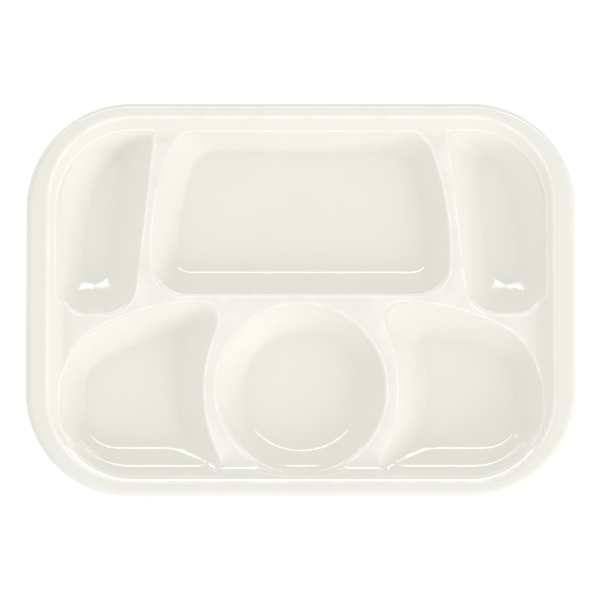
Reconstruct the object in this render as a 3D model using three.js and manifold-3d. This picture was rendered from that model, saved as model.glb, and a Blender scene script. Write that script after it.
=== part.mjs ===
// Six-compartment meal tray, moulded in one piece from ivory melamine.
// The moulding is modelled as the regions that its creases divide it into: the rim with its
// turned-down lip, the deck web between the wells, and the wall and the flat floor of each well.
// Millimetres, +Z up, front edge towards -Y, origin on the table under the middle of the tray.
import * as THREE from 'three';
import { mergeVertices } from 'three/addons/utils/BufferGeometryUtils.js';
import Module from 'manifold-3d';

// Whole tray
const LENGTH = 356;
const WIDTH = 255;
const HEIGHT = 25;
const CORNER_RADIUS = 68;
const WALL = 3;
const SEAM = 0.3;

// Rim: a flat flange, the lip that turns down outside it and the wall that slopes down inside it
const SIDE_FLANGE = 14.5;
const END_FLANGE = 11.6;
const FLANGE_ROUND = 4;
const LIP_ROUND = 4.5;
const LIP_DROP = 7;
const RIM_WALL_RUN = 8.4;
const RIM_WALL_DROP = 7;

// Wells: the rounded edge at the deck and the fillet round the floor
const EDGE_ROUND = 8;
const FLOOR_ROUND = 9;

// Wall runs in plan, from the mouth of a well to its flat floor
const WALL_RUN = 20.5;
const LENS_WALL_RUN = 24;
const SIDE_NEAR_RUN = 24;
const SIDE_OUTER_RUN = 12;
const MAIN_FAR_RUN = 12;
const ROUND_NEAR_RUN = 13;
const FRONT_OUTER_RUN = 16;

// Deck strips between the mouths of neighbouring wells
const MAIN_TO_ROUND = 3.7;
const MAIN_TO_SIDE = 5.9;
const MAIN_TO_FRONT = 2.2;
const ROUND_TO_FRONT = 6.4;
const SIDE_TO_FRONT = 7.8;
const SIDE_CORNER_TO_FRONT = 1.4;

// Round well, whose mouth runs a little way past the foot of the rim wall
const ROUND_RADIUS = 56;
const ROUND_OVERHANG = 6.3;

// Main well: bowed sides, widest a little way behind its near edge
const MAIN_SIDE_BOW = 200;
const MAIN_WIDEST = 27.5;
const MAIN_NEAR_CORNER = 19.5;
const MAIN_NEAR_FLOOR_CORNER = 9;
const MAIN_FAR_CORNER = 11;
const MAIN_FAR_FLOOR_CORNER = 13;

// Side wells: a leaning inner edge, a round near end and a lens-shaped floor that is widest
// a little way behind that end, and never farther than its reach from the far foot
const SIDE_WELL_WIDTH = 51.6;
const SIDE_LEAN = THREE.MathUtils.degToRad(6.45);
const SIDE_END_ROUND = 18;
const SIDE_END_FLOOR_ROUND = 4;
const SIDE_END_INSET = 21.5;
const SIDE_FAR_FLOOR_CORNER = 8;
const LENS_BOW = 157;
const LENS_OVERHANG = 11.9;
const LENS_WIDEST = 35.5;
const LENS_FAR_REACH = 83;

// Front wells: a bowed far edge and an inner edge that bends round the round well
const FRONT_FAR_BOW = 150;
const FRONT_INNER_BOW = 95;
const FRONT_CORNER = 20;
const FRONT_FLOOR_CORNER = 9;
const FRONT_NEAR_CORNER = 10;
const FRONT_NEAR_FLOOR_CORNER = 12;

// Small corner where the mouth of a well meets the foot of the rim wall
const FOOT_CORNER = 5;

// Facets, and the rays that trace the outline of a well: their spread is over 1 where they
// crowd towards the two ends of its length, and under 1 where they crowd towards its near and far ends
const CORNER_STEPS = 6;
const WELL_SIDES = 48;
const ROUND_STEPS = 3;
const MARCH_STEP = 1;
const HALVINGS = 30;
const EVEN_SPREAD = 1;
const WIDE_SPREAD = 1.6;
const NARROW_SPREAD = 0.4;

// Levels, and the half sizes of the foot of the rim wall, where it meets the deck
const DECK_Z = HEIGHT - RIM_WALL_DROP;
const WELL_DEPTH = DECK_Z - WALL;
const FOOT_X = LENGTH / 2 - SIDE_FLANGE - RIM_WALL_RUN;
const FOOT_Y = WIDTH / 2 - END_FLANGE - RIM_WALL_RUN;
const FOOT_RADIUS = CORNER_RADIUS - RIM_WALL_RUN - (SIDE_FLANGE + END_FLANGE) / 2;

// Places of the wells, each worked out from its neighbour
const ROUND_Y = ROUND_RADIUS - ROUND_OVERHANG - FOOT_Y;
const MAIN_NEAR_Y = ROUND_Y + ROUND_RADIUS + MAIN_TO_ROUND;
const MAIN_HALF_WIDTH = FOOT_X - SIDE_WELL_WIDTH - MAIN_TO_SIDE;
const MAIN_WIDEST_Y = MAIN_NEAR_Y + MAIN_WIDEST;
const FRONT_INNER_X = ROUND_RADIUS + ROUND_TO_FRONT;
const FRONT_FAR_CENTRE_Y = MAIN_NEAR_Y - MAIN_TO_FRONT - FRONT_FAR_BOW;
const SIDE_END_X = FOOT_X - SIDE_END_INSET;
const SIDE_NEAR_Y = Math.max(
  FRONT_FAR_CENTRE_Y + SIDE_TO_FRONT + Math.sqrt(FRONT_FAR_BOW ** 2 - (SIDE_END_X - FRONT_INNER_X) ** 2),
  sideCornerNearY());
const LENS_WIDEST_Y = Math.max(SIDE_NEAR_Y + LENS_WIDEST, FOOT_Y - LENS_FAR_REACH);

// Where the near end of a side well lies when its round inner corner just clears the front well's far edge
function sideCornerNearY() {
  const reach = FRONT_FAR_BOW + SIDE_CORNER_TO_FRONT + SIDE_END_ROUND;
  const [sin, cos] = [Math.sin(SIDE_LEAN), Math.cos(SIDE_LEAN)];
  const x = FOOT_X - SIDE_WELL_WIDTH + SIDE_END_ROUND / cos - FRONT_INNER_X;
  const y = MAIN_WIDEST_Y - FRONT_FAR_CENTRE_Y;
  const along = Math.sqrt(reach ** 2 - (x * cos + y * sin) ** 2) - (y * cos - x * sin);
  return MAIN_WIDEST_Y + along * cos - SIDE_END_ROUND;
}

const manifold = await Module();
manifold.setup();

// Signed distances in plan, negative on the side that belongs to the well
const inDisc = (cx, cy, radius) => (x, y) => Math.hypot(x - cx, y - cy) - radius;
const outOfDisc = (cx, cy, radius) => (x, y) => radius - Math.hypot(x - cx, y - cy);
const behindLine = (lineY) => (x, y) => lineY - y;

function rightOfLeaningLine(lineX, lineY, lean) {
  return (x, y) => (lineX - x) * Math.cos(lean) - (y - lineY) * Math.sin(lean);
}

function inRoundedRectangle(halfX, halfY, radius) {
  return (x, y) => {
    const outX = Math.abs(x) - halfX + radius;
    const outY = Math.abs(y) - halfY + radius;
    const beyond = Math.hypot(Math.max(outX, 0), Math.max(outY, 0));
    return beyond + Math.min(Math.max(outX, outY), 0) - radius;
  };
}

// The overlap of two regions, with their shared corners rounded to a radius
function roundedOverlap(a, b, radius) {
  const beyond = Math.hypot(Math.max(a + radius, 0), Math.max(b + radius, 0));
  return Math.min(Math.max(a, b), -radius) + beyond;
}

// One side of a well: its line in plan, the run of its wall from mouth to floor and the
// corner that it makes with the sides before it, at the mouth and at the floor
function side(line, run, edgeRound, mouthCorner, floorCorner) {
  const largestRounds = (run * run / WELL_DEPTH + WELL_DEPTH) / 2;
  const share = Math.min(1, largestRounds / (edgeRound + FLOOR_ROUND));
  const edge = edgeRound * share;
  const floor = FLOOR_ROUND * share;
  const spare = run * run - (2 * (edge + floor) - WELL_DEPTH) * WELL_DEPTH;
  const slope = 2 * Math.atan(WELL_DEPTH / (run + Math.sqrt(Math.max(spare, 0))));
  return { line, run, edge, floor, slope, mouthCorner, floorCorner };
}

// A side that is the foot of the rim wall: a crease, with no rounded edge
function footSide(run, mouthCorner, floorCorner) {
  const foot = inRoundedRectangle(FOOT_X - SEAM, FOOT_Y - SEAM, FOOT_RADIUS - SEAM);
  return side(foot, run, 0, mouthCorner, floorCorner);
}

// How far a side stands in from its mouth line at a height, on the upper face
function upperInset({ run, edge, floor, slope }, z) {
  const down = DECK_Z - z;
  const up = z - WALL;
  const bend = 1 - Math.cos(slope);
  if (down < edge * bend) return Math.sqrt(edge ** 2 - (edge - down) ** 2);
  if (up < floor * bend) return run - Math.sqrt(floor ** 2 - (floor - up) ** 2);
  return edge * Math.tan(slope / 2) + down / Math.tan(slope);
}

// The same on the underside, which lies one wall thickness away
function lowerInset({ run, edge, floor, slope }, z) {
  const innerEdge = Math.max(edge - WALL, 0);
  const outerFloor = floor + WALL;
  const down = DECK_Z - WALL - z;
  const bend = 1 - Math.cos(slope);
  if (down < innerEdge * bend) return Math.sqrt(innerEdge ** 2 - (innerEdge - down) ** 2);
  if (z < outerFloor * bend) return run - Math.sqrt(outerFloor ** 2 - (outerFloor - z) ** 2);
  const inset = edge * Math.tan(slope / 2) + (DECK_Z - z) / Math.tan(slope) - WALL / Math.sin(slope);
  return Math.max(inset, 0);
}

// The faces of a well, each with the level that it starts from
const UPPER_FACE = { top: DECK_Z, insetAt: upperInset };
const LOWER_FACE = { top: DECK_Z - WALL, insetAt: lowerInset };
const MOUTH_SEAM = { top: DECK_Z, insetAt: () => -SEAM };
const FLOOR_SEAM = { top: DECK_Z, insetAt: ({ run }) => run + SEAM };

// Distance to the outline that a well has at a height
function outlineDistance(well, x, y, z, face) {
  const sink = (face.top - z) / WELL_DEPTH;
  let distance = -Infinity;
  for (const wall of well.sides) {
    const corner = THREE.MathUtils.lerp(wall.mouthCorner, wall.floorCorner, sink);
    distance = roundedOverlap(distance, wall.line(x, y) + face.insetAt(wall, z), corner);
  }
  return distance;
}

// The outline itself: from the middle of the well, outwards along each ray to the wall
function outlineRing(well, z, face) {
  const ring = [];
  for (let i = 0; i < WELL_SIDES; i += 1) {
    const angle = 2 * Math.PI * i / WELL_SIDES;
    const ray = new THREE.Vector2(well.raySpread * Math.cos(angle), Math.sin(angle)).normalize();
    const distanceAt = (reach) => outlineDistance(
      well, well.x + ray.x * reach, well.y + ray.y * reach, z, face);
    let far = MARCH_STEP;
    while (distanceAt(far) < 0) far += MARCH_STEP;
    let near = far - MARCH_STEP;
    for (let k = 0; k < HALVINGS; k += 1) {
      const middle = (near + far) / 2;
      if (distanceAt(middle) < 0) near = middle;
      else far = middle;
    }
    ring.push(new THREE.Vector3(well.x + ray.x * near, well.y + ray.y * near, z));
  }
  return ring;
}

// Skin over rings of equal count, each counter-clockwise seen from above, the last joined to the first
function loft(rings) {
  const count = rings[0].length;
  const faces = [];
  for (let r = 0; r < rings.length; r += 1) {
    const low = r * count;
    const high = ((r + 1) % rings.length) * count;
    for (let i = 0; i < count; i += 1) {
      const next = (i + 1) % count;
      faces.push(low + i, high + i, high + next, low + i, high + next, low + next);
    }
  }
  const geometry = new THREE.BufferGeometry().setFromPoints(rings.flat());
  geometry.setIndex(faces);
  geometry.computeVertexNormals();
  return geometry;
}

// The wall of a well: up the inside from the floor to the mouth, then down the outside
function wallGeometry(well) {
  const slope = well.sides[0].slope;
  const bends = Array.from({ length: ROUND_STEPS + 1 }, (_, i) => 1 - Math.cos(slope * i / ROUND_STEPS));
  const { edge, floor } = well.sides[0];
  const innerEdge = Math.max(edge - WALL, 0);
  const inside = [
    ...bends.map((bend) => WALL + floor * bend),
    ...bends.toReversed().map((bend) => DECK_Z - edge * bend),
  ];
  const outside = [
    ...bends.map((bend) => DECK_Z - WALL - innerEdge * bend),
    ...bends.toReversed().map((bend) => (floor + WALL) * bend),
  ];
  return loft([
    ...inside.map((z) => outlineRing(well, z, UPPER_FACE)),
    ...outside.map((z) => outlineRing(well, z, LOWER_FACE)),
  ]);
}

// The flat floor inside the foot of that wall
function floorGeometry(well) {
  return prism(outlineRing(well, WALL, FLOOR_SEAM), 0, WALL);
}

function mainWell() {
  const centreX = MAIN_SIDE_BOW - MAIN_HALF_WIDTH;
  return {
    x: 0,
    y: (MAIN_NEAR_Y + FOOT_Y) / 2,
    raySpread: WIDE_SPREAD,
    sides: [
      side(inDisc(centreX, MAIN_WIDEST_Y, MAIN_SIDE_BOW), WALL_RUN, EDGE_ROUND, 0, 0),
      side(inDisc(-centreX, MAIN_WIDEST_Y, MAIN_SIDE_BOW), WALL_RUN, EDGE_ROUND, 0, 0),
      side(behindLine(MAIN_NEAR_Y), WALL_RUN, EDGE_ROUND, MAIN_NEAR_CORNER, MAIN_NEAR_FLOOR_CORNER),
      footSide(MAIN_FAR_RUN, MAIN_FAR_CORNER, MAIN_FAR_FLOOR_CORNER),
    ],
  };
}

function roundWell() {
  return {
    x: 0,
    y: ROUND_Y,
    raySpread: EVEN_SPREAD,
    sides: [
      side(inDisc(0, ROUND_Y, ROUND_RADIUS), WALL_RUN, EDGE_ROUND, 0, 0),
      footSide(ROUND_NEAR_RUN, FOOT_CORNER, FOOT_CORNER),
    ],
  };
}

// The right-hand wells are drawn, and a hand of -1 mirrors them to the left
function handed(hand, well) {
  const mirror = (wall) => ({ ...wall, line: (x, y) => wall.line(hand * x, y) });
  return { ...well, x: hand * well.x, sides: well.sides.map(mirror) };
}

function sideWell(hand) {
  const innerX = FOOT_X - SIDE_WELL_WIDTH;
  const lensX = FOOT_X + LENS_OVERHANG - LENS_BOW;
  const middleY = (SIDE_NEAR_Y + FOOT_Y) / 2;
  const floorInnerX = innerX - (middleY - MAIN_WIDEST_Y) * Math.tan(SIDE_LEAN) + WALL_RUN;
  const floorOuterX = FOOT_X - Math.max(SIDE_OUTER_RUN, LENS_WALL_RUN - LENS_OVERHANG);
  return handed(hand, {
    x: (floorInnerX + floorOuterX) / 2,
    y: middleY,
    raySpread: NARROW_SPREAD,
    sides: [
      side(rightOfLeaningLine(innerX, MAIN_WIDEST_Y, SIDE_LEAN), WALL_RUN, EDGE_ROUND, 0, 0),
      side(inDisc(lensX, LENS_WIDEST_Y, LENS_BOW), LENS_WALL_RUN, EDGE_ROUND, 0, 0),
      footSide(SIDE_OUTER_RUN, FOOT_CORNER, SIDE_FAR_FLOOR_CORNER),
      side(behindLine(SIDE_NEAR_Y), SIDE_NEAR_RUN, EDGE_ROUND, SIDE_END_ROUND, SIDE_END_FLOOR_ROUND),
    ],
  });
}

function frontWell(hand) {
  return handed(hand, {
    x: (FRONT_INNER_X + FOOT_X) / 2,
    y: ROUND_Y,
    raySpread: EVEN_SPREAD,
    sides: [
      side(outOfDisc(FRONT_INNER_X - FRONT_INNER_BOW, ROUND_Y, FRONT_INNER_BOW), WALL_RUN, EDGE_ROUND, 0, 0),
      side(inDisc(FRONT_INNER_X, FRONT_FAR_CENTRE_Y, FRONT_FAR_BOW), WALL_RUN, EDGE_ROUND,
        FRONT_CORNER, FRONT_FLOOR_CORNER),
      footSide(FRONT_OUTER_RUN, FRONT_NEAR_CORNER, FRONT_NEAR_FLOOR_CORNER),
    ],
  });
}

// Counter-clockwise outline of a rectangle with round corners
function roundedRectangle(halfX, halfY, radius) {
  const x = halfX - radius;
  const y = halfY - radius;
  const path = new THREE.Path();
  path.absarc(x, -y, radius, -Math.PI / 2, 0);
  path.absarc(x, y, radius, 0, Math.PI / 2);
  path.absarc(-x, y, radius, Math.PI / 2, Math.PI);
  path.absarc(-x, -y, radius, Math.PI, 1.5 * Math.PI);
  return path.getPoints(CORNER_STEPS);
}

// Rim ring: the tray's outline set in by a fixed amount, plus all or none of the flange
function rimRing(inset, flangeShare, z) {
  const insetX = inset + flangeShare * SIDE_FLANGE;
  const insetY = inset + flangeShare * END_FLANGE;
  const outline = roundedRectangle(
    LENGTH / 2 - insetX, WIDTH / 2 - insetY, CORNER_RADIUS - (insetX + insetY) / 2);
  return outline.map((point) => new THREE.Vector3(point.x, point.y, z));
}

function rimGeometry() {
  const slope = Math.atan2(RIM_WALL_DROP, RIM_WALL_RUN);
  const turns = Array.from({ length: ROUND_STEPS + 1 }, (_, i) => i / ROUND_STEPS);
  const flangeTangent = FLANGE_ROUND * Math.tan(slope / 2);
  const lipInside = Math.max(LIP_ROUND - WALL, 0);
  return loft([
    rimRing(RIM_WALL_RUN, 1, DECK_Z - WALL / Math.cos(slope)),
    rimRing(RIM_WALL_RUN, 1, DECK_Z),
    ...turns.map((turn) => rimRing(
      FLANGE_ROUND * Math.sin(slope * (1 - turn)) - flangeTangent, 1,
      HEIGHT - FLANGE_ROUND * (1 - Math.cos(slope * (1 - turn))))),
    ...turns.map((turn) => rimRing(
      LIP_ROUND * (1 - Math.sin(turn * Math.PI / 2)), 0,
      HEIGHT - LIP_ROUND * (1 - Math.cos(turn * Math.PI / 2)))),
    rimRing(0, 0, HEIGHT - LIP_DROP),
    rimRing(WALL, 0, HEIGHT - LIP_DROP),
    rimRing(WALL, 0, HEIGHT - WALL - lipInside),
    rimRing(WALL + lipInside, 0, HEIGHT - WALL),
    rimRing(-WALL * Math.tan(slope / 2), 1, HEIGHT - WALL),
  ]);
}

// Upright prism on an outline
function prism(outline, bottom, height) {
  const shape = new THREE.Shape(outline.map((point) => new THREE.Vector2(point.x, point.y)));
  const geometry = new THREE.ExtrudeGeometry(shape, { depth: height, bevelEnabled: false });
  return geometry.translate(0, 0, bottom);
}

function solidFrom(geometry) {
  geometry.deleteAttribute('normal');
  geometry.deleteAttribute('uv');
  const merged = mergeVertices(geometry);
  return new manifold.Manifold(new manifold.Mesh({
    numProp: 3,
    vertProperties: new Float32Array(merged.attributes.position.array),
    triVerts: new Uint32Array(merged.index.array),
  }));
}

function geometryFrom(solid) {
  const { vertProperties, triVerts } = solid.getMesh();
  const geometry = new THREE.BufferGeometry();
  geometry.setAttribute('position', new THREE.BufferAttribute(vertProperties, 3));
  geometry.setIndex(new THREE.BufferAttribute(triVerts, 1));
  geometry.computeVertexNormals();
  return geometry;
}

// The deck: a plate inside the rim, with the mouth of every well cut out of it
function deckGeometry(wells) {
  const foot = roundedRectangle(FOOT_X - SEAM, FOOT_Y - SEAM, FOOT_RADIUS - SEAM);
  const plate = solidFrom(prism(foot, DECK_Z - WALL, WALL));
  const cut = wells.reduce((solid, well) => {
    const mouth = outlineRing(well, DECK_Z, MOUTH_SEAM);
    return solid.subtract(solidFrom(prism(mouth, DECK_Z - 2 * WALL, 3 * WALL)));
  }, plate);
  return geometryFrom(cut);
}

function ivoryMelamine() {
  return new THREE.MeshStandardMaterial({ color: '#ececdf', roughness: 0.18, metalness: 0 });
}

function region(name, geometry) {
  const mesh = new THREE.Mesh(geometry, ivoryMelamine());
  mesh.name = name;
  return mesh;
}

const wells = {
  main_well: mainWell(),
  left_side_well: sideWell(-1),
  right_side_well: sideWell(1),
  round_well: roundWell(),
  front_left_well: frontWell(-1),
  front_right_well: frontWell(1),
};

const tray = new THREE.Group();
tray.add(region('rim', rimGeometry()));
tray.add(region('deck', deckGeometry(Object.values(wells))));
for (const [name, well] of Object.entries(wells)) {
  tray.add(region(`${name}_wall`, wallGeometry(well)));
  tray.add(region(`${name}_floor`, floorGeometry(well)));
}

export default tray;
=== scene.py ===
"""Six-compartment meal tray, moulded in one piece from glossy ivory melamine.

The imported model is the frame. One continuous skin, made here, stands for all its regions: the six wells
with their fillets, the deck web between them, the rim wall, the flange and the turned-down lip, with the
underside one wall thickness away. Lengths are in millimetres until a mesh is made.
"""
import logging
import math
from dataclasses import dataclass, field
from enum import Enum

import bpy
import numpy as np
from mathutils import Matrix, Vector
from mathutils.geometry import delaunay_2d_cdt


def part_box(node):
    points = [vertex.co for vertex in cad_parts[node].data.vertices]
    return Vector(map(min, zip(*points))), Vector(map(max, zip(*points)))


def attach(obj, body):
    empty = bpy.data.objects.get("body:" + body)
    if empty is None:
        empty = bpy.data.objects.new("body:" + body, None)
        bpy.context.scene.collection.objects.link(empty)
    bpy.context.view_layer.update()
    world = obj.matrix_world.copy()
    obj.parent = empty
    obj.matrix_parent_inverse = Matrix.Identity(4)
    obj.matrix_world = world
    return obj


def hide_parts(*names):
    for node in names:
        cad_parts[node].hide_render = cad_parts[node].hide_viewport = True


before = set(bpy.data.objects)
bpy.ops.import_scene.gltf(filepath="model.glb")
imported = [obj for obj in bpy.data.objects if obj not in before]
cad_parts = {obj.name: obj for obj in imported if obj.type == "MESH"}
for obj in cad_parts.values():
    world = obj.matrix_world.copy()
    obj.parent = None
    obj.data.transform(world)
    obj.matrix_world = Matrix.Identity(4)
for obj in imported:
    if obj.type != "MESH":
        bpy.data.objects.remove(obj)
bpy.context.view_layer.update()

MM = 0.001
# Attribute that carries the painted highlight along the mouths and the flange's inner edge
PAINTED_HIGHLIGHT = "painted_edge_highlight"
WHITE = "#FFFFFF"

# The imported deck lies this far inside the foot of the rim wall
SEAM = 0.3

# As the lean of an edge, a quarter turn has its region behind it and a half turn to its left
QUARTER_TURN = math.pi / 2
HALF_TURN = math.pi

# Halvings of a search, and the step that a slope is taken over
HALVINGS = 28
STEP = 0.0001

# Step and limit of the search along a ray
MARCH = 1.0
LONGEST_RAY = 200.0

# Height where a well has no wall, and a distance deep inside every region
NO_WALL = 40.0
FAR_INSIDE = -1e6

# Heights equal to this many digits make one ring, and plan points closer than this are one point
HEIGHT_DIGITS = 4
SAME_POINT = 1e-6

# Kind of triangulation that fills the whole hull of its points
WHOLE_HULL = 0

# Sockets of a colour mix, whose names other kinds of mix share
MIX_SHARE, MIX_FROM, MIX_TO, MIX_RESULT = 0, 6, 7, 2

log = logging.getLogger("tray")


class Hand(Enum):
    """Whether a well is made as drawn, on the right or in the middle, or mirrored to the left."""

    AS_DRAWN = 1
    MIRRORED = -1


def linear_colour(code: str) -> tuple[float, float, float, float]:
    """Turn an sRGB hex colour into linear light.

    Args:
        code: colour as "#rrggbb".

    Returns:
        Red, green, blue and an alpha of 1.
    """
    shares = [int(code[i:i + 2], 16) / 255 for i in (1, 3, 5)]
    red, green, blue = (s / 12.92 if s <= 0.04045 else ((s + 0.055) / 1.055) ** 2.4 for s in shares)
    return red, green, blue, 1.0


def node(tree: bpy.types.NodeTree, kind: str, settings: dict[str | int, object] | None = None,
         links: dict[str | int, bpy.types.NodeSocket] | None = None) -> bpy.types.Node:
    """Add a shader node with its settings and links.

    Args:
        tree: node tree to add to.
        kind: the node type's own name.
        settings: properties by attribute name, and socket values by input name or number.
        links: output sockets to link from, by input name or number.

    Returns:
        The new node.
    """
    made = tree.nodes.new(kind)
    for name, value in (settings or {}).items():
        if isinstance(name, str) and hasattr(made, name):
            setattr(made, name, value)
        else:
            made.inputs[name].default_value = value
    for name, socket in (links or {}).items():
        tree.links.new(socket, made.inputs[name])
    return made


def seen(tree: bpy.types.NodeTree) -> bpy.types.NodeSocket:
    """Tell rays that are seen from those that only carry light.

    Args:
        tree: node tree to add to.

    Returns:
        Output that is 1 for a ray from the camera, a reflection or a see-through surface.
    """
    path = node(tree, "ShaderNodeLightPath")
    first = node(tree, "ShaderNodeMath", {"operation": "MAXIMUM"},
                 {0: path.outputs["Is Camera Ray"], 1: path.outputs["Is Glossy Ray"]})
    both = node(tree, "ShaderNodeMath", {"operation": "MAXIMUM"},
                {0: first.outputs[0], 1: path.outputs["Is Transmission Ray"]})
    return both.outputs[0]


def bare_material(name: str) -> bpy.types.Material:
    """Make a material with no nodes yet.

    Args:
        name: the material's name.

    Returns:
        The material.
    """
    made = bpy.data.materials.new(name)
    made.use_nodes = True
    made.node_tree.nodes.clear()
    return made


@dataclass(frozen=True)
class MouldedMelamine:
    """Ivory melamine, compression moulded in a polished die."""

    name: str = "ivory_melamine_moulded"
    colour: str = "#F0EFE6"
    cloud_colour: str = "#ECEBE1"
    cloud_mm: float = 40.0
    cloud_detail: float = 3.0
    # Painted highlight along the mouths and the flange's inner edge: its pale colour, and patches that
    # make it uneven
    painted_highlight_colour: str = "#FEFDF8"
    patch_mm: float = 14.0
    patch_detail: float = 2.0
    patch_range: tuple[float, float] = (0.35, 0.65)
    faintest_painted_highlight: float = 0.4
    ior: float = 1.6
    roughness: float = 0.1
    glossier: float = 0.03
    duller: float = 0.05
    grain_mm: float = 1.2
    grain_detail: float = 2.0
    ripple_mm: float = 9.0
    ripple_detail: float = 1.0
    ripple_height_mm: float = 0.002

    def material(self) -> bpy.types.Material:
        """Make the material.

        Returns:
            The material.
        """
        made = bare_material(self.name)
        tree = made.node_tree
        place = {"Vector": node(tree, "ShaderNodeTexCoord").outputs["Object"]}
        # Filler that flowed unevenly in the die leaves clouds a few centimetres wide, barely darker
        clouds = node(tree, "ShaderNodeTexNoise",
                      {"Scale": 1 / (self.cloud_mm * MM), "Detail": self.cloud_detail}, place)
        clouded = node(tree, "ShaderNodeMix",
                       {"data_type": "RGBA", MIX_FROM: linear_colour(self.colour),
                        MIX_TO: linear_colour(self.cloud_colour)},
                       {MIX_SHARE: clouds.outputs["Fac"]})
        # Painted highlight: the mouths and the flange's inner edge are painted paler, unevenly in patches,
        # where light would catch them in bright lines
        patches = node(tree, "ShaderNodeTexNoise",
                       {"Scale": 1 / (self.patch_mm * MM), "Detail": self.patch_detail}, place)
        low, high = self.patch_range
        uneven = node(tree, "ShaderNodeMapRange",
                      {"From Min": low, "From Max": high, "To Min": self.faintest_painted_highlight, "To Max": 1.0},
                      {"Value": patches.outputs["Fac"]})
        edge = node(tree, "ShaderNodeMath", {"operation": "MULTIPLY"},
                    {0: node(tree, "ShaderNodeAttribute", {"attribute_name": PAINTED_HIGHLIGHT}).outputs["Fac"],
                     1: uneven.outputs["Result"]})
        # Mix the painted highlight colour in along the edges
        colour = node(tree, "ShaderNodeMix",
                      {"data_type": "RGBA", MIX_TO: linear_colour(self.painted_highlight_colour)},
                      {MIX_SHARE: edge.outputs[0], MIX_FROM: clouded.outputs[MIX_RESULT]})
        # The gloss is even, dulled a little in fine grains by washing and use
        grain = node(tree, "ShaderNodeTexNoise",
                     {"Scale": 1 / (self.grain_mm * MM), "Detail": self.grain_detail}, place)
        gloss = node(tree, "ShaderNodeMapRange",
                     {"To Min": self.roughness - self.glossier, "To Max": self.roughness + self.duller},
                     {"Value": grain.outputs["Fac"]})
        # The polished die leaves a slow ripple that bends long highlights a little
        ripple = node(tree, "ShaderNodeTexNoise",
                      {"Scale": 1 / (self.ripple_mm * MM), "Detail": self.ripple_detail}, place)
        bump = node(tree, "ShaderNodeBump", {"Strength": 1.0, "Distance": self.ripple_height_mm * MM},
                    {"Height": ripple.outputs["Fac"]})
        shader = node(tree, "ShaderNodeBsdfPrincipled", {"IOR": self.ior},
                      {"Base Color": colour.outputs[MIX_RESULT], "Roughness": gloss.outputs["Result"],
                       "Normal": bump.outputs["Normal"]})
        node(tree, "ShaderNodeOutputMaterial", {}, {"Surface": shader.outputs["BSDF"]})
        return made


@dataclass(frozen=True)
class WhitePaper:
    """The white sheet under the tray."""

    name: str = "white_paper"
    colour: str = "#E6E6E6"
    glow: float = 0.6

    def material(self) -> bpy.types.Material:
        """Make the material.

        Returns:
            The material.
        """
        made = bare_material(self.name)
        tree = made.node_tree
        # Matte, and it glows a little where it is seen, so only contact shadow shows
        matte = node(tree, "ShaderNodeBsdfDiffuse", {"Color": linear_colour(self.colour)}).outputs[0]
        glow = node(tree, "ShaderNodeEmission", {"Strength": self.glow}).outputs[0]
        lit = node(tree, "ShaderNodeAddShader", {}, {0: matte, 1: glow}).outputs[0]
        mixed = node(tree, "ShaderNodeMixShader", {}, {0: seen(tree), 1: matte, 2: lit})
        node(tree, "ShaderNodeOutputMaterial", {}, {"Surface": mixed.outputs[0]})
        return made


def lower_of(a: np.ndarray, b: np.ndarray, reach: float) -> np.ndarray:
    """Lower of two surfaces, rounded where they are closer than a reach.

    Args:
        a: first surface, as rows of heights, slopes along X and slopes along Y.
        b: second surface.
        reach: difference in height under which the two are blended.

    Returns:
        The blended surface, in the same rows.
    """
    near = np.maximum(reach - np.abs(a[0] - b[0]), 0.0) / reach
    share = np.where(a[0] < b[0], 1 - near / 2, near / 2)
    found = share * a + (1 - share) * b
    found[0] = np.minimum(a[0], b[0]) - near * near * reach / 4
    return found


def rounded_overlap(a: np.ndarray, b: np.ndarray, radius: np.ndarray) -> np.ndarray:
    """Distance to the overlap of two regions whose shared corners are rounded.

    Args:
        a: signed distances to the first region, negative inside.
        b: signed distances to the second region.
        radius: corner radius at each point.

    Returns:
        Signed distances to the overlap.
    """
    beyond = np.hypot(np.maximum(a + radius, 0), np.maximum(b + radius, 0))
    return np.minimum(np.maximum(a, b), -radius) + beyond


@dataclass(frozen=True)
class Disc:
    """Plan region inside a circle, or outside it. The near half may be stretched towards the user."""

    x: float
    y: float
    radius: float
    inside: bool = True
    near_stretch: float = 1.0

    def distance(self, x: np.ndarray, y: np.ndarray) -> np.ndarray:
        """Signed distance in plan.

        Args:
            x: points' X.
            y: points' Y.

        Returns:
            Distances, negative in the region.
        """
        behind = y - self.y
        behind = np.where(behind < 0, behind / self.near_stretch, behind)
        reach = np.hypot(x - self.x, behind) - self.radius
        return reach if self.inside else -reach


@dataclass(frozen=True)
class LeaningEdge:
    """Plan region to the right of a line that leans from the Y axis.

    A lean of a quarter turn gives the region behind the line, and a half turn the region to its left.
    """

    x: float
    y: float
    lean: float

    def distance(self, x: np.ndarray, y: np.ndarray) -> np.ndarray:
        """Signed distance in plan, negative in the region."""
        return (self.x - x) * math.cos(self.lean) - (y - self.y) * math.sin(self.lean)


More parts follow.
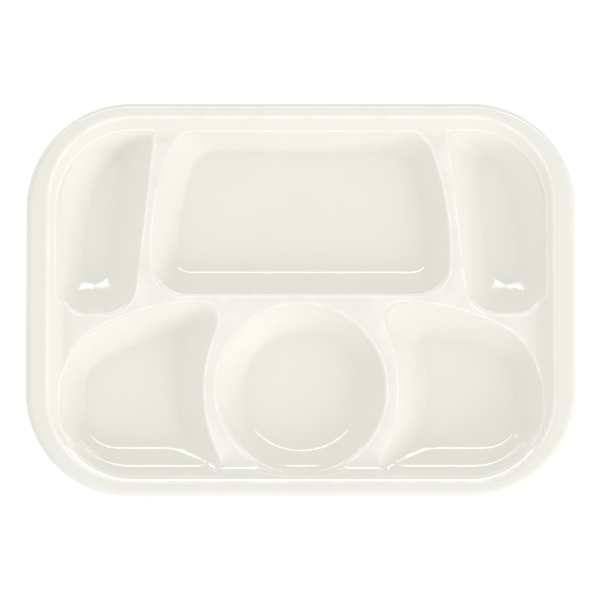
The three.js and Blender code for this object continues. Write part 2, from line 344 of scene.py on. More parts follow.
@dataclass(frozen=True)
class RoundedRectangle:
    """Plan region inside a rectangle with round corners, centred on the tray."""

    half_x: float
    half_y: float
    radius: float

    def distance(self, x: np.ndarray, y: np.ndarray) -> np.ndarray:
        """Signed distance in plan.

        Args:
            x: points' X.
            y: points' Y.

        Returns:
            Distances, negative in the region.
        """
        out_x = np.abs(x) - self.half_x + self.radius
        out_y = np.abs(y) - self.half_y + self.radius
        beyond = np.hypot(np.maximum(out_x, 0), np.maximum(out_y, 0))
        return beyond + np.minimum(np.maximum(out_x, out_y), 0) - self.radius

    def grown(self, by: float) -> "RoundedRectangle":
        """The outline moved out all round by one distance."""
        return RoundedRectangle(self.half_x + by, self.half_y + by, self.radius + by)

    def ring(self, corner_steps: int, long_steps: int, short_steps: int) -> tuple[np.ndarray, np.ndarray]:
        """Points along the outline, counter-clockwise from the right end of the near side.

        Args:
            corner_steps: steps round each corner.
            long_steps: steps along each side that runs in X.
            short_steps: steps along each side that runs in Y.

        Returns:
            The points and the outward directions at them, each one row a point.
        """
        x = self.half_x - self.radius
        y = self.half_y - self.radius
        corners = [(x, -y, short_steps), (x, y, long_steps), (-x, y, short_steps), (-x, -y, long_steps)]
        points, outward = [], []
        for quarter, (cx, cy, steps) in enumerate(corners):
            turns = (quarter - 1 + np.arange(corner_steps + 1) / corner_steps) * QUARTER_TURN
            directions = np.column_stack([np.cos(turns), np.sin(turns)])
            arc = np.array([cx, cy]) + self.radius * directions
            next_x, next_y, _ = corners[(quarter + 1) % 4]
            next_start = np.array([next_x, next_y]) + self.radius * directions[-1]
            shares = np.arange(1, steps)[:, None] / steps
            points += [arc, arc[-1] + shares * (next_start - arc[-1])]
            outward += [directions, np.repeat(directions[-1:], steps - 1, axis=0)]
        return np.vstack(points), np.vstack(outward)


Edge = Disc | LeaningEdge | RoundedRectangle


@dataclass(frozen=True)
class Section:
    """How a wall bends: its fillet, how much it steepens above that, and the round at a free mouth."""

    floor_round: float
    hollow: float
    top_round: float


@dataclass(frozen=True)
class WallProfile:
    """One side of a well: its edge in plan and the section of the wall below that edge.

    From the floor up, the section is a fillet to the lower slope and a wide sweep to the upper slope. A
    free mouth ends in a small round. A wall that cuts into the rim wall carries straight on instead, and
    may have a ledge there, which starts with a narrow step.
    """

    edge: Edge
    run: float
    top_round: float
    floor_round: float
    low_slope: float
    high_slope: float
    sweep: float
    offset: float
    ledge_drop: float
    ledge_slope: float
    step_width: float
    step_rise: float
    mouth_corner: float
    floor_corner: float

    def inset(self, z: np.ndarray, deck_z: float, floor_z: float) -> np.ndarray:
        """How far the wall stands in from its edge at a height.

        Args:
            z: heights.
            deck_z: height of the deck.
            floor_z: height of the well's floor.

        Returns:
            Distances, negative where the wall stands outside its edge.
        """
        down = deck_z - z
        up = z - floor_z
        low, high = math.cos(self.low_slope), math.cos(self.high_slope)
        fillet_rise = self.floor_round * (1 - low)
        fillet = self.run - np.sqrt(np.maximum(self.floor_round ** 2 - (self.floor_round - up) ** 2, 0))
        level = np.clip(low - (up - fillet_rise) / self.sweep, high, low)
        swept = self.run - (self.floor_round - self.sweep) * math.sin(self.low_slope)
        found = np.where(up < fillet_rise, fillet, swept - self.sweep * np.sqrt(1 - level * level))
        if self.top_round > 0:
            rounded = np.sqrt(np.maximum(self.top_round ** 2 - (self.top_round - down) ** 2, 0))
            above = -np.sqrt(2 * self.top_round * np.maximum(-down, 0))
            found = np.where(down < self.top_round * (1 - high), np.where(down < 0, above, rounded), found)
        else:
            rise = np.maximum(self.ledge_drop - down, 0)
            share = np.minimum(rise / self.step_rise, 1)
            step = self.step_width * share * share * (3 - 2 * share)
            found = found - rise / math.tan(self.ledge_slope) - step
        return found - self.offset


@dataclass
class Well:
    """One compartment: the middle that its rings run round, and its sides."""

    x: float
    y: float
    ray_spread: float
    hand: Hand
    deck_z: float
    floor_z: float
    sides: list[WallProfile] = field(default_factory=list)

    def distance(self, x: np.ndarray, y: np.ndarray, z: np.ndarray) -> np.ndarray:
        """Signed distance in plan to the well's outline at a height.

        Args:
            x: points' X.
            y: points' Y.
            z: heights of the outlines.

        Returns:
            Distances, negative inside the well.
        """
        sink = np.clip((self.deck_z - z) / (self.deck_z - self.floor_z), 0, 1)
        found = np.full(np.broadcast(x, z).shape, FAR_INSIDE)
        for side in self.sides:
            corner = side.mouth_corner + (side.floor_corner - side.mouth_corner) * sink
            corner = corner + np.maximum(z - self.deck_z, 0) / math.tan(side.ledge_slope)
            reach = side.edge.distance(self.hand.value * x, y) + side.inset(z, self.deck_z, self.floor_z)
            found = rounded_overlap(found, reach, corner)
        return found

    def surface(self, x: np.ndarray, y: np.ndarray) -> np.ndarray:
        """The well's surface over plan points: its floor, its wall, or the wall carried on upwards.

        Args:
            x: points' X.
            y: points' Y.

        Returns:
            Rows of heights, slopes along X and slopes along Y. Heights stop at NO_WALL far outside.
        """
        low = np.full(np.shape(x), self.floor_z)
        high = np.full(np.shape(x), NO_WALL)
        on_floor = self.distance(x, y, low) < 0
        for _ in range(HALVINGS):
            middle = (low + high) / 2
            inside = self.distance(x, y, middle) < 0
            high = np.where(inside, middle, high)
            low = np.where(inside, low, middle)
        here = self.distance(x, y, high)
        rise = here - self.distance(x, y, high + STEP)
        along_x = (self.distance(x + STEP, y, high) - here) / rise
        along_y = (self.distance(x, y + STEP, high) - here) / rise
        return np.where(on_floor, [[self.floor_z], [0.0], [0.0]], [high, along_x, along_y])

    def rays(self, count: int) -> np.ndarray:
        """Unit directions from the well's middle, counter-clockwise.

        Args:
            count: how many.

        Returns:
            One direction a row.
        """
        turns = 2 * math.pi * np.arange(count) / count
        rays = np.column_stack([self.ray_spread * np.cos(turns), np.sin(turns)])
        return rays / np.linalg.norm(rays, axis=1, keepdims=True)

    def reach(self, rays: np.ndarray, z: float) -> np.ndarray:
        """Distance along each ray from the middle to the outline at a height.

        Args:
            rays: unit directions.
            z: height of the outline.

        Returns:
            One distance for each ray.
        """
        steps = np.arange(MARCH, LONGEST_RAY, MARCH)
        level = np.full((len(rays), len(steps)), z)
        x = self.x + rays[:, :1] * steps
        y = self.y + rays[:, 1:] * steps
        far = steps[np.argmax(self.distance(x, y, level) > 0, axis=1)]
        near = far - MARCH
        for _ in range(HALVINGS):
            middle = (near + far) / 2
            inside = self.distance(
                self.x + rays[:, 0] * middle, self.y + rays[:, 1] * middle, np.full(len(rays), z)) < 0
            near = np.where(inside, middle, near)
            far = np.where(inside, far, middle)
        return near


@dataclass
class MeshParts:
    """Points, normals and faces of a skin while it is put together."""

    points: list[np.ndarray] = field(default_factory=list)
    normals: list[np.ndarray] = field(default_factory=list)
    # How strongly a highlight is painted at each point
    painted_highlight: list[np.ndarray] = field(default_factory=list)
    faces: list[tuple[int, ...]] = field(default_factory=list)
    count: int = 0

    def add(self, points: np.ndarray, normals: np.ndarray, painted_highlight: np.ndarray | None = None) -> np.ndarray:
        """Take in points.

        Args:
            points: one point a row.
            normals: the skin's normals there.
            painted_highlight: how strongly a highlight is painted onto the skin there, 0 to 1, or nothing
                where there is none.

        Returns:
            The points' indices.
        """
        self.points.append(points)
        self.normals.append(normals)
        self.painted_highlight.append(np.zeros(len(points)) if painted_highlight is None else painted_highlight)
        self.count += len(points)
        return np.arange(self.count - len(points), self.count)

    def strip(self, inner: np.ndarray, outer: np.ndarray) -> None:
        """Join two closed rings of equal count with quads.

        Args:
            inner: indices of the inner ring.
            outer: indices of the ring to the right of it.
        """
        for i in range(len(inner)):
            k = (i + 1) % len(inner)
            self.faces.append((int(inner[i]), int(outer[i]), int(outer[k]), int(inner[k])))

    def fan(self, middle: int, ring: np.ndarray) -> None:
        """Close a ring with triangles.

        Args:
            middle: index of the point that they meet at.
            ring: indices of the ring.
        """
        for i in range(len(ring)):
            self.faces.append((middle, int(ring[i]), int(ring[(i + 1) % len(ring)])))


@dataclass
class TrayMoulding:
    """The tray as one moulding. The whole sizes come from the frame, the rest are set here in mm."""

    length: float
    width: float
    height: float
    deck_z: float
    wall: float
    foot_x: float
    foot_y: float
    finish: MouldedMelamine = MouldedMelamine()

    # Rim: the flange, the lip that turns down outside it and the rounds at both ends of the rim wall
    corner_radius: float = 68.0
    side_flange: float = 14.5
    end_flange: float = 11.6
    end_flange_seen: float = 9.4
    flange_blend: float = 2.2
    foot_blend: float = 1.8
    lip_round: float = 4.5
    lip_drop: float = 7.0

    # Sections of the walls: nearly straight, and hollow on the sides nearest the user
    even: Section = Section(floor_round=4.0, hollow=math.radians(5.0), top_round=3.4)
    hollow: Section = Section(floor_round=9.0, hollow=math.radians(19.0), top_round=3.6)

    # Runs of the walls in plan, from a well's edge to its flat floor
    wall_run: float = 20.5
    lens_wall_run: float = 24.0
    side_near_run: float = 24.0
    side_outer_run: float = 12.0
    main_side_run: float = 18.4
    main_far_run: float = 10.2
    round_run: float = 19.4
    round_near_run: float = 13.0
    front_near_run: float = 16.0
    front_outer_run: float = 16.0

    # How far walls stand outside the foot of the rim wall where they cut into it, and the near ledge
    main_cut_in: float = 1.4
    side_cut_in: float = 1.6
    front_outer_cut_in: float = 0.3
    near_cut_in: float = 2.9
    near_ledge: float = 3.8
    ledge_slope: float = math.radians(50.0)
    step_width: float = 0.85
    step_rise: float = 0.85

    # Creases at the mouths, and highlight lines painted pale along them and along the flange's inner edge
    crease_blend: float = 0.25
    painted_highlight_width: float = 0.35
    flange_painted_highlight_width: float = 0.9
    flattest_mouth: float = 0.12

    # Strips of deck between the mouths of neighbouring wells
    main_to_round: float = 3.7
    main_to_side: float = 5.9
    main_to_front: float = 2.2
    round_to_front: float = 6.4
    side_to_front: float = 7.8

    # Round well, whose mouth runs a little way past the foot of the rim wall
    round_radius: float = 56.0
    round_overhang: float = 6.3
    round_near_corner: float = 2.0
    round_near_stretch: float = 1.09

    # Main well, with bowed sides
    main_side_bow: float = 200.0
    main_widest: float = 27.5
    main_near_corner: float = 19.5
    main_near_floor_corner: float = 9.0
    main_far_corner: float = 11.0
    main_far_floor_corner: float = 13.0

    # Side wells: a leaning inner edge, a round near end and a lens-shaped floor
    side_well_width: float = 51.6
    side_lean: float = math.radians(6.45)
    side_end_round: float = 18.0
    side_end_floor_round: float = 14.0
    side_end_inset: float = 21.5
    side_far_floor_corner: float = 8.0
    side_foot_corner: float = 5.0
    lens_bow: float = 157.0
    lens_overhang: float = 11.9
    lens_widest: float = 35.5

    # Front wells: a bowed far edge and an inner edge that bends round the round well
    front_far_bow: float = 150.0
    front_inner_bow: float = 95.0
    front_corner: float = 20.0
    front_floor_corner: float = 9.0
    front_near_corner: float = 10.0
    front_near_floor_corner: float = 12.0
    front_outer_floor_corner: float = 21.0

    # Rays and rings of a well. A spread over 1 crowds rays to left and right, under 1 to near and far
    ray_count: int = 150
    main_ray_spread: float = 1.6
    even_ray_spread: float = 1.0
    side_ray_spread: float = 0.4
    floor_rings: tuple[float, ...] = (0.25, 0.5, 0.75, 0.9, 0.97)
    fillet_steps: int = 9
    wall_steps: int = 7
    crease_step: float = 0.05
    mouth_rings: tuple[float, ...] = (0.3, 0.6, 0.8, 0.9, 0.95, 1.0)
    mouth_margin: float = 0.8
    past_rings: tuple[float, ...] = (0.2, 0.45, 0.7, 1.0)

    # Steps along the rim, and its rows of points as shares of how far the two rounds reach
    corner_steps: int = 40
    long_steps: int = 70
    short_steps: int = 40
    foot_rows: tuple[float, ...] = tuple(k / 3 for k in range(-4, 5))
    flange_rows: tuple[float, ...] = tuple(k / 4 for k in range(-5, 5))
    flange_start: float = 1.5
    lip_steps: int = 10
    lip_edge_steps: int = 8

    def __post_init__(self) -> None:
        """Work out the places that the wells take from their neighbours."""
        self.rim_run = self.length / 2 - self.side_flange - self.foot_x
        self.rim_drop = self.height - self.deck_z
        self.rim_slope = self.rim_drop / self.rim_run
        foot_radius = self.corner_radius - self.rim_run - (self.side_flange + self.end_flange) / 2
        self.foot = RoundedRectangle(self.foot_x, self.foot_y, foot_radius)
        self.outline = RoundedRectangle(self.length / 2, self.width / 2, self.corner_radius)
        self.flange_edge = RoundedRectangle(
            self.foot_x + self.rim_run, self.width / 2 - self.end_flange_seen, foot_radius + self.rim_run)
        self.round_y = self.round_radius - self.round_overhang - self.foot_y
        self.main_near_y = self.round_y + self.round_radius + self.main_to_round
        self.main_widest_y = self.main_near_y + self.main_widest
        self.front_inner_x = self.round_radius + self.round_to_front
        self.front_far_y = self.main_near_y - self.main_to_front - self.front_far_bow
        self.side_near_y = self.front_far_y + self.side_to_front + math.sqrt(
            self.front_far_bow ** 2 - (self.foot_x - self.side_end_inset - self.front_inner_x) ** 2)
        self.wells = [self.main_well(), self.round_well()]
        for hand in Hand:
            self.wells += [self.side_well(hand), self.front_well(hand)]

    def side(self, edge: Edge, run: float, section: Section,
             corners: tuple[float, float] = (0.0, 0.0)) -> WallProfile:
        """A side with a rounded top, whose wall runs from the deck down to the floor.

        Args:
            edge: the side's edge in plan.
            run: plan distance from that edge to the flat floor.
            section: how the wall bends.
            corners: radius of its corner with the sides before it, at the mouth and at the floor.

        Returns:
            The side.
        """
        return self.profile(edge, run, section, section.top_round, 0.0, 0.0, corners)

    def foot_side(self, edge: Edge, run: float, section: Section, cut_in: float, ledge_drop: float,
                  corners: tuple[float, float]) -> WallProfile:
        """A side at the foot of the rim wall, carried on upwards until it cuts into that wall.

        Args:
            edge: the side's edge in plan.
            run: plan distance from that edge to the flat floor.
            section: how the wall bends.
            cut_in: how far the wall stands outside that edge at the height of the deck.
            ledge_drop: how far below the deck the ledge starts, or 0 for a wall with no ledge.
            corners: radius of its corner with the sides before it, at the mouth and at the floor.

        Returns:
            The side.
        """
        offset = cut_in
        if ledge_drop:
            offset -= ledge_drop / math.tan(self.ledge_slope) + self.step_width
        return self.profile(edge, run + offset, section, 0.0, offset, ledge_drop, corners)

    def profile(self, edge: Edge, run: float, section: Section, top_round: float, offset: float,
                ledge_drop: float, corners: tuple[float, float]) -> WallProfile:
        """Solve the slopes of a wall from its depth, its run and its two rounds.

        Args:
            edge: the side's edge in plan.
            run: plan distance from the wall's top to the flat floor.
            section: how the wall bends.
            top_round: radius at its mouth, or 0 where it carries on upwards.
            offset: how far its top stands outside its edge.
            ledge_drop: how far below the deck its ledge starts, or 0 for none.
            corners: radius of its corner with the sides before it, at the mouth and at the floor.

        Returns:
            The side.
        """
        depth = self.deck_z - self.wall - ledge_drop
        least, most = 0.0, QUARTER_TURN - section.hollow
        for _ in range(HALVINGS):
            low = (least + most) / 2
            high = low + section.hollow
            rounds = section.floor_round * (1 - math.cos(low)) + top_round * (1 - math.cos(high))
            sweep = (depth - rounds) / (math.cos(low) - math.cos(high))
            reach = (section.floor_round - sweep) * math.sin(low) + (top_round + sweep) * math.sin(high)
            least, most = (low, most) if reach > run else (least, low)
        ledge = (self.ledge_slope, self.step_width) if ledge_drop else (high, 0.0)
        return WallProfile(edge, run, top_round, section.floor_round, low, high, sweep, offset,
                           ledge_drop, *ledge, self.step_rise, *corners)

    def well(self, middle: tuple[float, float], ray_spread: float, hand: Hand,
             sides: list[WallProfile]) -> Well:
        """Put a well together from its sides as drawn."""
        x, y = middle
        return Well(hand.value * x, y, ray_spread, hand, self.deck_z, self.wall, sides)

    def main_well(self) -> Well:
        """The large far compartment, with bowed sides.

        Returns:
            The well.
        """
        half_width = self.foot_x - self.side_well_width - self.main_to_side
        centre = self.main_side_bow - half_width
        middle = (0.0, (self.main_near_y + self.foot_y) / 2)
        return self.well(middle, self.main_ray_spread, Hand.AS_DRAWN, [
            *(self.side(Disc(x, self.main_widest_y, self.main_side_bow), self.main_side_run, self.even)
              for x in (centre, -centre)),
            self.side(LeaningEdge(0.0, self.main_near_y, QUARTER_TURN), self.wall_run, self.hollow,
                      (self.main_near_corner, self.main_near_floor_corner)),
            self.foot_side(self.foot, self.main_far_run, self.even, self.main_cut_in, 0.0,
                           (self.main_far_corner, self.main_far_floor_corner)),
        ])

    def round_well(self) -> Well:
        """The round compartment, whose near side runs into the rim wall.

        Returns:
            The well.
        """
        return self.well((0.0, self.round_y), self.even_ray_spread, Hand.AS_DRAWN, [
            self.side(Disc(0.0, self.round_y, self.round_radius, near_stretch=self.round_near_stretch),
                      self.round_run, self.even),
            self.side(Disc(0.0, self.round_y, self.round_radius), self.wall_run, self.hollow),
            self.foot_side(self.foot, self.round_near_run, self.hollow, self.near_cut_in, self.near_ledge,
                           (self.round_near_corner, self.round_near_corner)),
        ])

    def side_well(self, hand: Hand) -> Well:
        """A tall compartment beside the main one, with a lens-shaped floor.

        Args:
            hand: whether it is the one on the right or its mirror.

        Returns:
            The well.
        """
        inner_x = self.foot_x - self.side_well_width
        middle_y = (self.side_near_y + self.foot_y) / 2
        floor_inner = inner_x - (middle_y - self.main_widest_y) * math.tan(self.side_lean) + self.wall_run
        floor_outer = self.foot_x - max(self.side_outer_run, self.lens_wall_run - self.lens_overhang)
        lens_x = self.foot_x + self.lens_overhang - self.lens_bow
        middle = ((floor_inner + floor_outer) / 2, middle_y)
        return self.well(middle, self.side_ray_spread, hand, [
            self.side(LeaningEdge(inner_x, self.main_widest_y, self.side_lean), self.wall_run, self.even),
            self.side(Disc(lens_x, self.side_near_y + self.lens_widest, self.lens_bow), self.lens_wall_run,
                      self.even),
            self.foot_side(self.foot, self.side_outer_run, self.even, self.side_cut_in, 0.0,
                           (self.side_foot_corner, self.side_far_floor_corner)),
            self.side(LeaningEdge(0.0, self.side_near_y, QUARTER_TURN), self.side_near_run, self.hollow,
                      (self.side_end_round, self.side_end_floor_round)),
        ])

    def front_well(self, hand: Hand) -> Well:
        """A compartment beside the round one, with an inner edge that bends round it.

        Args:
            hand: whether it is the one on the right or its mirror.

        Returns:
            The well.
        """
        inner = Disc(self.front_inner_x - self.front_inner_bow, self.round_y, self.front_inner_bow,
                     inside=False)
        far = Disc(self.front_inner_x, self.front_far_y, self.front_far_bow)
        middle = ((self.front_inner_x + self.foot_x) / 2, self.round_y)
        return self.well(middle, self.even_ray_spread, hand, [
            self.foot_side(LeaningEdge(self.foot_x, 0.0, HALF_TURN), self.front_outer_run, self.even,
                           self.front_outer_cut_in, 0.0, (0.0, 0.0)),
            self.foot_side(LeaningEdge(0.0, -self.foot_y, QUARTER_TURN), self.front_near_run, self.hollow,
                           self.near_cut_in, self.near_ledge,
                           (self.foot.radius, self.front_outer_floor_corner)),
            self.side(inner, self.wall_run, self.even,
                      (self.front_near_corner, self.front_near_floor_corner)),
            self.side(far, self.wall_run, self.even, (self.front_corner, self.front_floor_corner)),
        ])

    def rim_wall(self, x: np.ndarray, y: np.ndarray) -> np.ndarray:
        """Height of the wall that rises evenly from the foot line to the flange's inner edge."""
        out = self.foot.distance(x, y)
        return self.deck_z + self.rim_drop * out / (out - self.flange_edge.distance(x, y))

    def rim_surface(self, x: np.ndarray, y: np.ndarray) -> np.ndarray:
        """The deck, the rim wall and the flange, as if there were no wells.

        Args:
            x: points' X.
            y: points' Y.

        Returns:
            Rows of heights, slopes along X and slopes along Y.
        """
        here = self.rim_wall(x, y)
        rim_wall = np.array([here, (self.rim_wall(x + STEP, y) - here) / STEP,
                             (self.rim_wall(x, y + STEP) - here) / STEP])
        deck = np.zeros_like(rim_wall)
        deck[0] = self.deck_z
        flange = np.zeros_like(rim_wall)
        flange[0] = self.height
        return lower_of(-lower_of(-rim_wall, -deck, self.foot_blend), flange, self.flange_blend)

    def top_points(self, plan: np.ndarray) -> tuple[np.ndarray, np.ndarray, np.ndarray]:
        """Lift plan points onto the upper face.

        Args:
            plan: plan points, one row a point.

        Returns:
            The points in space, the upper face's normals there, and how strongly a highlight is painted on
            the
            face: 1 along the mouths of the wells and the flange's inner edge, 0 away from them.
        """
        x, y = plan[:, 0], plan[:, 1]
        found = self.rim_surface(x, y)
        # Painted highlight, strongest on the flange's inner edge
        painted_highlight = np.exp(-(self.flange_edge.distance(x, y) / self.flange_painted_highlight_width) ** 2)
        for well in self.wells:
            near = well.distance(x, y, np.full(len(plan), self.deck_z)) < self.rim_run
            rim = found[:, near]
            wall = well.surface(x[near], y[near])
            # Painted highlight along the crease where the well's wall meets the deck or the rim wall
            turn = np.maximum(np.hypot(*(wall - rim)[1:]), self.flattest_mouth)
            from_edge = (wall - rim)[0] / turn
            painted_highlight[near] = np.maximum(painted_highlight[near], np.exp(-(from_edge / self.painted_highlight_width) ** 2))
            found[:, near] = lower_of(rim, wall, self.crease_blend)
        normals = np.column_stack([-found[1], -found[2], np.ones(len(plan))])
        normals /= np.linalg.norm(normals, axis=1, keepdims=True)
        return np.column_stack([plan, found[0]]), normals, painted_highlight

    def crease_reach(self, well: Well, rays: np.ndarray, start: np.ndarray) -> np.ndarray:
        """Distance along each ray at which the well's wall comes up to the deck or the rim wall.

        Args:
            well: the well.
            rays: unit directions from its middle.
            start: distances to look from.

        Returns:
            One distance for each ray.
        """
        steps = np.arange(0.0, self.rim_run, self.crease_step)
        x = well.x + rays[:, :1] * (start[:, None] + steps)
        y = well.y + rays[:, 1:] * (start[:, None] + steps)
        rim = self.rim_surface(x, y)[0]
        return start + steps[np.argmax(well.distance(x, y, rim) > -STEP, axis=1)]

    def well_reaches(self, well: Well, rays: np.ndarray) -> np.ndarray:
        """Distances of a well's rings along its rays, from its floor out to just past its mouth.

        Args:
            well: the well.
            rays: unit directions from its middle.

        Returns:
            One row a ring, one distance for each ray.
        """
        first = max(well.sides, key=lambda side: side.top_round)
        shares = np.linspace(0.0, 1.0, self.fillet_steps + 1)
        fillet = self.wall + first.floor_round * (1 - np.cos(shares * first.low_slope))
        top = self.deck_z - first.top_round * (1 - np.cos(shares[::-1] * first.high_slope))
        straight = np.linspace(fillet[-1], top[0], self.wall_steps + 1)[1:-1]
        steps = [self.deck_z - side.ledge_drop + self.step_rise * shares
                 for side in well.sides if side.ledge_drop]
        heights = np.unique(np.concatenate([fillet, straight, top, *steps]).round(HEIGHT_DIGITS))
        levels = [well.reach(rays, z) for z in heights]
        inner = [levels[0] * share for share in self.floor_rings]
        mouth = levels[-1]
        crease = self.crease_reach(well, rays, mouth)
        outer = [mouth + (crease - mouth) * share for share in self.mouth_rings]
        past = [crease + self.mouth_margin * share for share in self.past_rings]
        return np.array([*inner, *levels, *outer, *past])

    def add_well(self, parts: MeshParts, well: Well) -> np.ndarray:
        """Add a well's skin.

        Args:
            parts: the skin so far.
            well: the well to add.

        Returns:
            Indices of its outermost ring.
        """
        rays = well.rays(self.ray_count)
        reaches = self.well_reaches(well, rays)
        middle = np.array([well.x, well.y])
        plan = middle + (reaches[:, :, None] * rays).reshape(-1, 2)
        indices = parts.add(*self.top_points(np.vstack([middle, plan])))
        rings = indices[1:].reshape(reaches.shape)
        parts.fan(int(indices[0]), rings[0])
        for inner, outer in zip(rings, rings[1:]):
            parts.strip(inner, outer)
        return rings[-1]

    def rim_ring(self, outline: RoundedRectangle) -> tuple[np.ndarray, np.ndarray]:
        """Points and outward directions along one of the rim's outlines."""
        return outline.ring(self.corner_steps, self.long_steps, self.short_steps)

    def web_rows(self) -> list[np.ndarray]:
        """Plan rows of points along the foot fillet, the rim wall and the flange's inner round.

        Returns:
            One array of points a row.
        """
        foot_reach = self.foot_blend / self.rim_slope
        flange_reach = self.flange_blend / self.rim_slope
        rows = [self.foot.grown(foot_reach * share) for share in self.foot_rows]
        rows += [self.foot.grown(self.rim_run / 2)]
        rows += [self.flange_edge.grown(flange_reach * share) for share in self.flange_rows]
        return [self.rim_ring(row)[0] for row in rows]

    def add_web(self, parts: MeshParts, mouths: list[np.ndarray]) -> np.ndarray:
        """Add the deck and the rim wall between the wells' mouths and the flange.

        Args:
            parts: the skin so far.
            mouths: indices of each well's outermost ring.

        Returns:
            Indices of the ring along the flange's inner edge.
        """
        flange_reach = self.flange_blend / self.rim_slope
        edge_plan, _ = self.rim_ring(self.flange_edge.grown(flange_reach * self.flange_start))
        flange = parts.add(*self.top_points(edge_plan))
        so_far = np.vstack(parts.points)
        rings = [*mouths, flange]
        outlines = [so_far[ring][:, :2] for ring in rings]
        rows = np.vstack(self.web_rows())
        clear = np.ones(len(rows), bool)
        for well, outline in zip(self.wells, outlines):
            clear &= self.beyond(well, outline, rows) > self.mouth_margin
        inner = parts.add(*self.top_points(rows[clear]))
        kept = np.concatenate([*rings, inner])
        plan = np.vstack([*outlines, rows[clear]])
        edges = []
        start = 0
        for ring in rings:
            count = len(ring)
            edges += [(start + i, start + (i + 1) % count) for i in range(count)]
            start += count
        places, _, faces, sources, *_ = delaunay_2d_cdt(
            [Vector(p) for p in plan], edges, [], WHOLE_HULL, SAME_POINT)
        origin = [ids[0] for ids in sources]
        triangles = np.array(faces)
        middles = np.array([v[:] for v in places])[triangles].mean(axis=1)
        open_deck = np.ones(len(triangles), bool)
        for well, outline in zip(self.wells, outlines):
            open_deck &= self.beyond(well, outline, middles) > 0
        for triangle in triangles[open_deck]:
            parts.faces.append(tuple(int(kept[origin[v]]) for v in triangle))
        return flange

    @staticmethod
    def beyond(well: Well, outline: np.ndarray, plan: np.ndarray) -> np.ndarray:
        """How far plan points lie past a ring round a well, along the rays from its middle.

        Args:
            well: the well.
            outline: points of the ring.
            plan: points to measure.

        Returns:
            One distance a point, negative inside the ring.
        """
        middle = np.array([well.x, well.y])
        ring = outline - middle
        turns = np.arctan2(ring[:, 1], ring[:, 0])
        order = np.argsort(turns)
        away = plan - middle
        limit = np.interp(np.arctan2(away[:, 1], away[:, 0]), turns[order],
                          np.hypot(ring[:, 0], ring[:, 1])[order], period=2 * math.pi)
        return np.hypot(away[:, 0], away[:, 1]) - limit

    def add_flange(self, parts: MeshParts, inner: np.ndarray) -> np.ndarray:
        """Add the flange and the outside of its lip.

        Args:
            parts: the skin so far.
            inner: indices of the ring along the flange's inner edge.

        Returns:
            Indices of the ring at the bottom of the lip's outside.
        """
        last = inner
        turns = np.linspace(0.0, QUARTER_TURN, self.lip_steps + 1)
        sections = [(self.lip_round * (1 - math.sin(turn)),
                     self.height - self.lip_round * (1 - math.cos(turn)), turn) for turn in turns]
        bottom = self.height - self.lip_drop + self.wall / 2
        sections.append((0.0, bottom, QUARTER_TURN))
        for inset, z, turn in sections:
            plan, outward = self.rim_ring(self.outline.grown(-inset))
            normals = np.column_stack([outward * math.sin(turn), np.full(len(plan), math.cos(turn))])
            ring = parts.add(np.column_stack([plan, np.full(len(plan), z)]), normals)
            parts.strip(last, ring)
            last = ring
        return last

    def close_underside(self, parts: MeshParts, lip: np.ndarray) -> None:
        """Add the underside one wall thickness below the skin, and the round edge of the lip.

        Args:
            parts: the skin of the upper face.
            lip: indices of the ring at the bottom of the lip's outside.
        """
        points = np.vstack(parts.points)
        normals = np.vstack(parts.normals)
        top_faces = list(parts.faces)
        start = parts.count
        parts.add(points - self.wall * normals, -normals)
        parts.faces += [tuple(start + v for v in reversed(face)) for face in top_faces]
        middle = points[lip] - normals[lip] * self.wall / 2
        last = lip
        down = np.array([0.0, 0.0, -1.0])
        for k in range(1, self.lip_edge_steps):
            turn = HALF_TURN * k / self.lip_edge_steps
            outward = normals[lip] * math.cos(turn) + down * math.sin(turn)
            ring = parts.add(middle + outward * self.wall / 2, outward)
            parts.strip(last, ring)
            last = ring
        parts.strip(last, lip + start)

    def build(self) -> bpy.types.Object:
        """Make the tray's mesh and its object.

        Returns:
            The object, with no material yet.
        """
        parts = MeshParts()
        mouths = [self.add_well(parts, well) for well in self.wells]
        flange = self.add_web(parts, mouths)
        lip = self.add_flange(parts, flange)
        self.close_underside(parts, lip)
        mesh = bpy.data.meshes.new("tray_moulding")
        mesh.from_pydata((np.vstack(parts.points) * MM).tolist(), [], parts.faces)
        mesh.validate()
        mesh.polygons.foreach_set("use_smooth", [True] * len(mesh.polygons))
        mesh.normals_split_custom_set_from_vertices(np.vstack(parts.normals).tolist())
        # Painted highlight along the mouths and the flange's inner edge, for the material to read
        painted_highlight = mesh.attributes.new(PAINTED_HIGHLIGHT, "FLOAT", "POINT")
        painted_highlight.data.foreach_set("value", np.concatenate(parts.painted_highlight))
        mesh.update()
        tray = bpy.data.objects.new("tray_moulding", mesh)
        bpy.context.collection.objects.link(tray)
        return tray

    def dress(self, tray: bpy.types.Object) -> None:
        """Give the tray its finish."""
        tray.data.materials.append(self.finish.material())


@dataclass(frozen=True)
class SoftLamp:
    """Rectangular lamp that faces the middle of the tray, with lengths in metres."""

    name: str
    place: tuple[float, float, float]
    size: tuple[float, float]
    watts: float
    in_gloss: bool = True
    in_matte: bool = True

    def hang(self) -> None:
        """Add the lamp to the scene."""
        data = bpy.data.lights.new(self.name, "AREA")
        data.shape = "RECTANGLE"
        data.size, data.size_y = self.size
        data.energy = self.watts
        made = bpy.data.objects.new(self.name, data)
        made.location = self.place
        made.rotation_mode = "QUATERNION"
        made.rotation_quaternion = (Vector() - Vector(self.place)).to_track_quat("-Z", "Y")
        made.visible_glossy = self.in_gloss
        made.visible_diffuse = self.in_matte
        bpy.context.collection.objects.link(made)


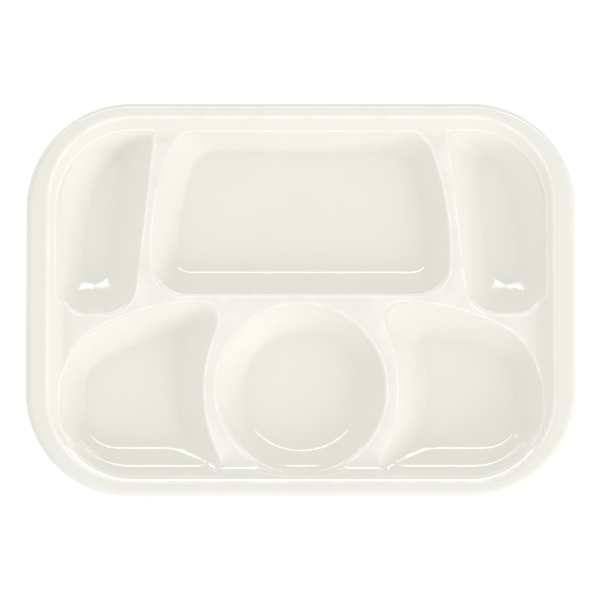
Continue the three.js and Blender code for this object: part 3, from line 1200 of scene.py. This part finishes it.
@dataclass(frozen=True)
class Studio:
    """White floor, soft lights and the camera that looks down on the tray."""

    # Camera at the photograph's angle, with a long lens
    frame_width_mm: float = 387.6
    camera_distance_mm: float = 2500.0
    elevation: float = math.radians(86.0)
    aim_mm: tuple[float, float, float] = (-0.8, -0.3, 22.0)
    sensor_mm: float = 36.0
    farthest_m: float = 100.0

    # A soft key on the front right, and a long strip behind, which shows only in the gloss
    key: SoftLamp = SoftLamp("key", (1.76, -1.76, 0.75), (1.2, 1.0), 20.0, in_gloss=False)
    strip: SoftLamp = SoftLamp("back_strip", (0.0, 1.7, 1.45), (3.6, 0.42), 30.0, in_matte=False)

    # Light from all round, and what is seen past the floor
    fill: float = 0.92
    seen_white: float = 1.0

    # Paper under the tray
    floor_side_m: float = 12.0
    floor_gap_mm: float = 0.2
    paper: WhitePaper = WhitePaper()

    def camera(self) -> None:
        """Set the camera."""
        data = bpy.data.cameras.new("camera")
        data.sensor_width = self.sensor_mm
        data.lens = self.sensor_mm * self.camera_distance_mm / self.frame_width_mm
        data.clip_end = self.farthest_m
        made = bpy.data.objects.new("camera", data)
        back = Vector((0.0, -math.cos(self.elevation), math.sin(self.elevation)))
        made.location = Vector(self.aim_mm) * MM + back * self.camera_distance_mm * MM
        made.rotation_mode = "QUATERNION"
        made.rotation_quaternion = (-back).to_track_quat("-Z", "Y")
        bpy.context.collection.objects.link(made)
        bpy.context.scene.camera = made

    def world(self) -> None:
        """Light from all round, with plain white where the camera or a reflection looks past the floor."""
        made = bpy.data.worlds.new("studio")
        bpy.context.scene.world = made
        made.use_nodes = True
        tree = made.node_tree
        tree.nodes.clear()
        fill, plain = (
            node(tree, "ShaderNodeBackground", {"Color": linear_colour(WHITE), "Strength": strength})
            for strength in (self.fill, self.seen_white))
        mixed = node(tree, "ShaderNodeMixShader", {},
                     {0: seen(tree), 1: fill.outputs[0], 2: plain.outputs[0]})
        node(tree, "ShaderNodeOutputWorld", {}, {"Surface": mixed.outputs[0]})

    def floor(self) -> None:
        """Lay the paper, a hair below the tray."""
        half = self.floor_side_m / 2
        corners = [(-half, -half, 0), (half, -half, 0), (half, half, 0), (-half, half, 0)]
        mesh = bpy.data.meshes.new("floor")
        mesh.from_pydata(corners, [], [(0, 1, 2, 3)])
        mesh.materials.append(self.paper.material())
        made = bpy.data.objects.new("floor", mesh)
        made.location.z = -self.floor_gap_mm * MM
        bpy.context.collection.objects.link(made)

    def build(self) -> None:
        """Make the camera, the lights and the floor."""
        self.camera()
        self.key.hang()
        self.strip.hang()
        self.world()
        self.floor()
        bpy.context.scene.view_settings.view_transform = "Standard"


def main() -> None:
    """Build the tray, dress it and set it in the studio."""
    logging.basicConfig(level=logging.INFO, format="%(name)s: %(message)s")
    low, high = (np.array(corner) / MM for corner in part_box("rim"))
    deck_low, deck_high = (np.array(corner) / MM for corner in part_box("deck"))
    tray = TrayMoulding(
        length=high[0] - low[0], width=high[1] - low[1], height=high[2], deck_z=deck_high[2],
        wall=deck_high[2] - deck_low[2], foot_x=deck_high[0] + SEAM, foot_y=deck_high[1] + SEAM)
    piece = tray.build()
    tray.dress(piece)
    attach(piece, "root")
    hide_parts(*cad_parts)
    log.info("%s: %d faces", piece.name, len(piece.data.polygons))
    Studio().build()


if __name__ == "__main__":
    main()
